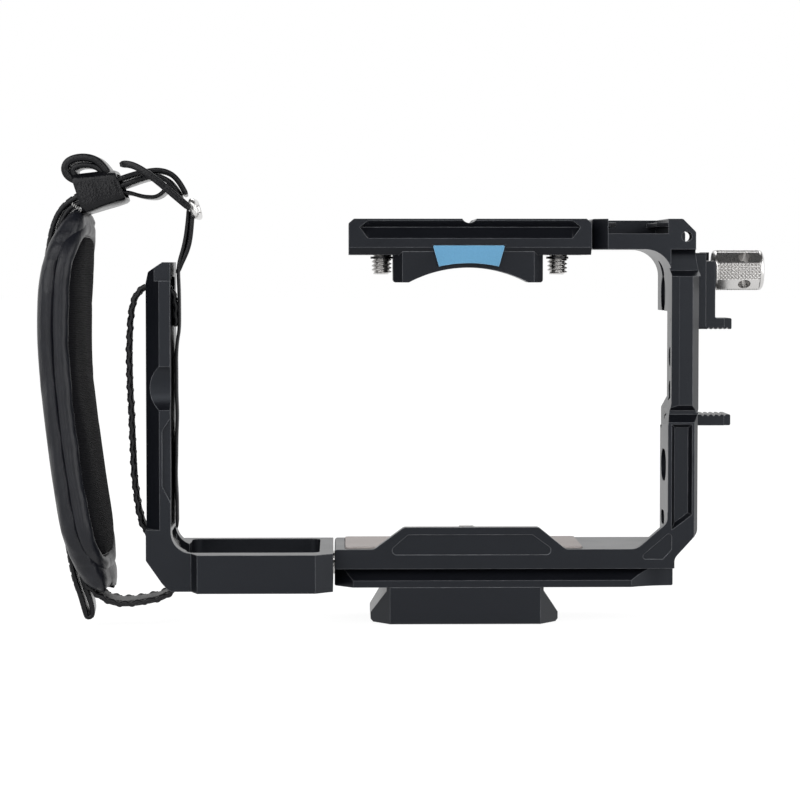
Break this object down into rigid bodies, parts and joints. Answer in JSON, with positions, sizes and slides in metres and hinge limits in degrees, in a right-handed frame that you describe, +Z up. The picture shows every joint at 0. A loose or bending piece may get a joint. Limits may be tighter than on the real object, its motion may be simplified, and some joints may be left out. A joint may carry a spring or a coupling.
{
  "type": "camera cage",
  "caption": "Camera cage: C-shaped frame with rail plate, cold shoe, camera screw, cable clamp, dovetail foot and a sliding side bracket with a padded hand strap.",
  "frame": {"origin": "middle of the quick-release plate's underside", "axes": "+X towards the clamp arm, away from the hand strap; -Y towards the lens side; +Z up"},
  "size_m": [0.2288, 0.0572, 0.146],
  "materials": {
    "black_anodised": "satin black anodised",
    "blue_anodised": "light blue anodised, bare",
    "stainless": "turned stainless steel",
    "bright_knurled": "knurled bright steel",
    "black_steel": "black oxide",
    "pad_rubber": "grey-brown, fine grain",
    "black_leather": "smooth black leather",
    "black_fabric": "ribbed black fabric"
  },
  "bodies": {
    "cage": {"cage_frame": "black_anodised", "top_rail_plate": "black_anodised", "rail_plate_screws": "black_steel", "locating_block": "black_anodised", "block_screws": "black_steel", "nameplate": "blue_anodised", "base_pad": "pad_rubber", "quick_release_plate": "black_anodised", "plate_screws": "black_steel", "clamp_track": "black_anodised", "clamp_track_screws": "black_steel", "lower_jaw": "black_anodised", "lower_jaw_screws": "black_steel"},
    "lock_screw": {"bracket_lock_screw": "black_steel"},
    "captive_left": {"captive_screw_left": "stainless", "retaining_ring_left": "black_steel"},
    "captive_right": {"captive_screw_right": "stainless", "retaining_ring_right": "black_steel"},
    "camera_bolt": {"camera_screw": "stainless", "camera_screw_ring": "black_steel"},
    "jaw": {"upper_jaw": "black_anodised"},
    "clamp_knob": {"knob": "bright_knurled", "knob_washer": "stainless"},
    "bracket": {"side_bracket": "black_anodised", "guide_rods": "stainless", "rod_screws": "black_steel", "hand_pad": "black_leather", "pad_lining": "black_fabric", "keeper_sleeve": "black_leather", "strap_slider": "stainless", "pad_strap": "black_leather", "strap_inner": "black_leather", "folded_loop": "black_leather", "loose_loop": "black_leather", "strap_tail": "black_leather", "strap_drop": "black_leather", "stitched_strap": "black_leather"}
  },
  "joints": [
    {"name": "lock_screw_turn", "type": "hinge", "parent": "cage", "child": "lock_screw", "pos_m": [-0.034, 0.011, 0.0116], "axis": [0, 0, 1], "continuous": true},
    {"name": "captive_left_turn", "type": "hinge", "parent": "cage", "child": "captive_left", "pos_m": [-0.0259, -0.005, 0.12], "axis": [0, 0, 1], "continuous": true},
    {"name": "captive_right_turn", "type": "hinge", "parent": "cage", "child": "captive_right", "pos_m": [0.0296, -0.005, 0.12], "axis": [0, 0, 1], "continuous": true},
    {"name": "camera_bolt_turn", "type": "hinge", "parent": "cage", "child": "camera_bolt", "pos_m": [0.0012, 0, 0.02], "axis": [0, 0, 1], "continuous": true},
    {"name": "jaw_slide", "type": "slide", "parent": "cage", "child": "jaw", "axis": [0, 0, 1], "range_m": [0, 0.008]},
    {"name": "knob_turn", "type": "hinge", "parent": "cage", "child": "clamp_knob", "pos_m": [0.08, 0.005, 0.1104], "axis": [1, 0, 0], "continuous": true},
    {"name": "bracket_slide", "type": "slide", "parent": "cage", "child": "bracket", "axis": [-1, 0, 0], "range_m": [0, 0.015]}
  ]
}
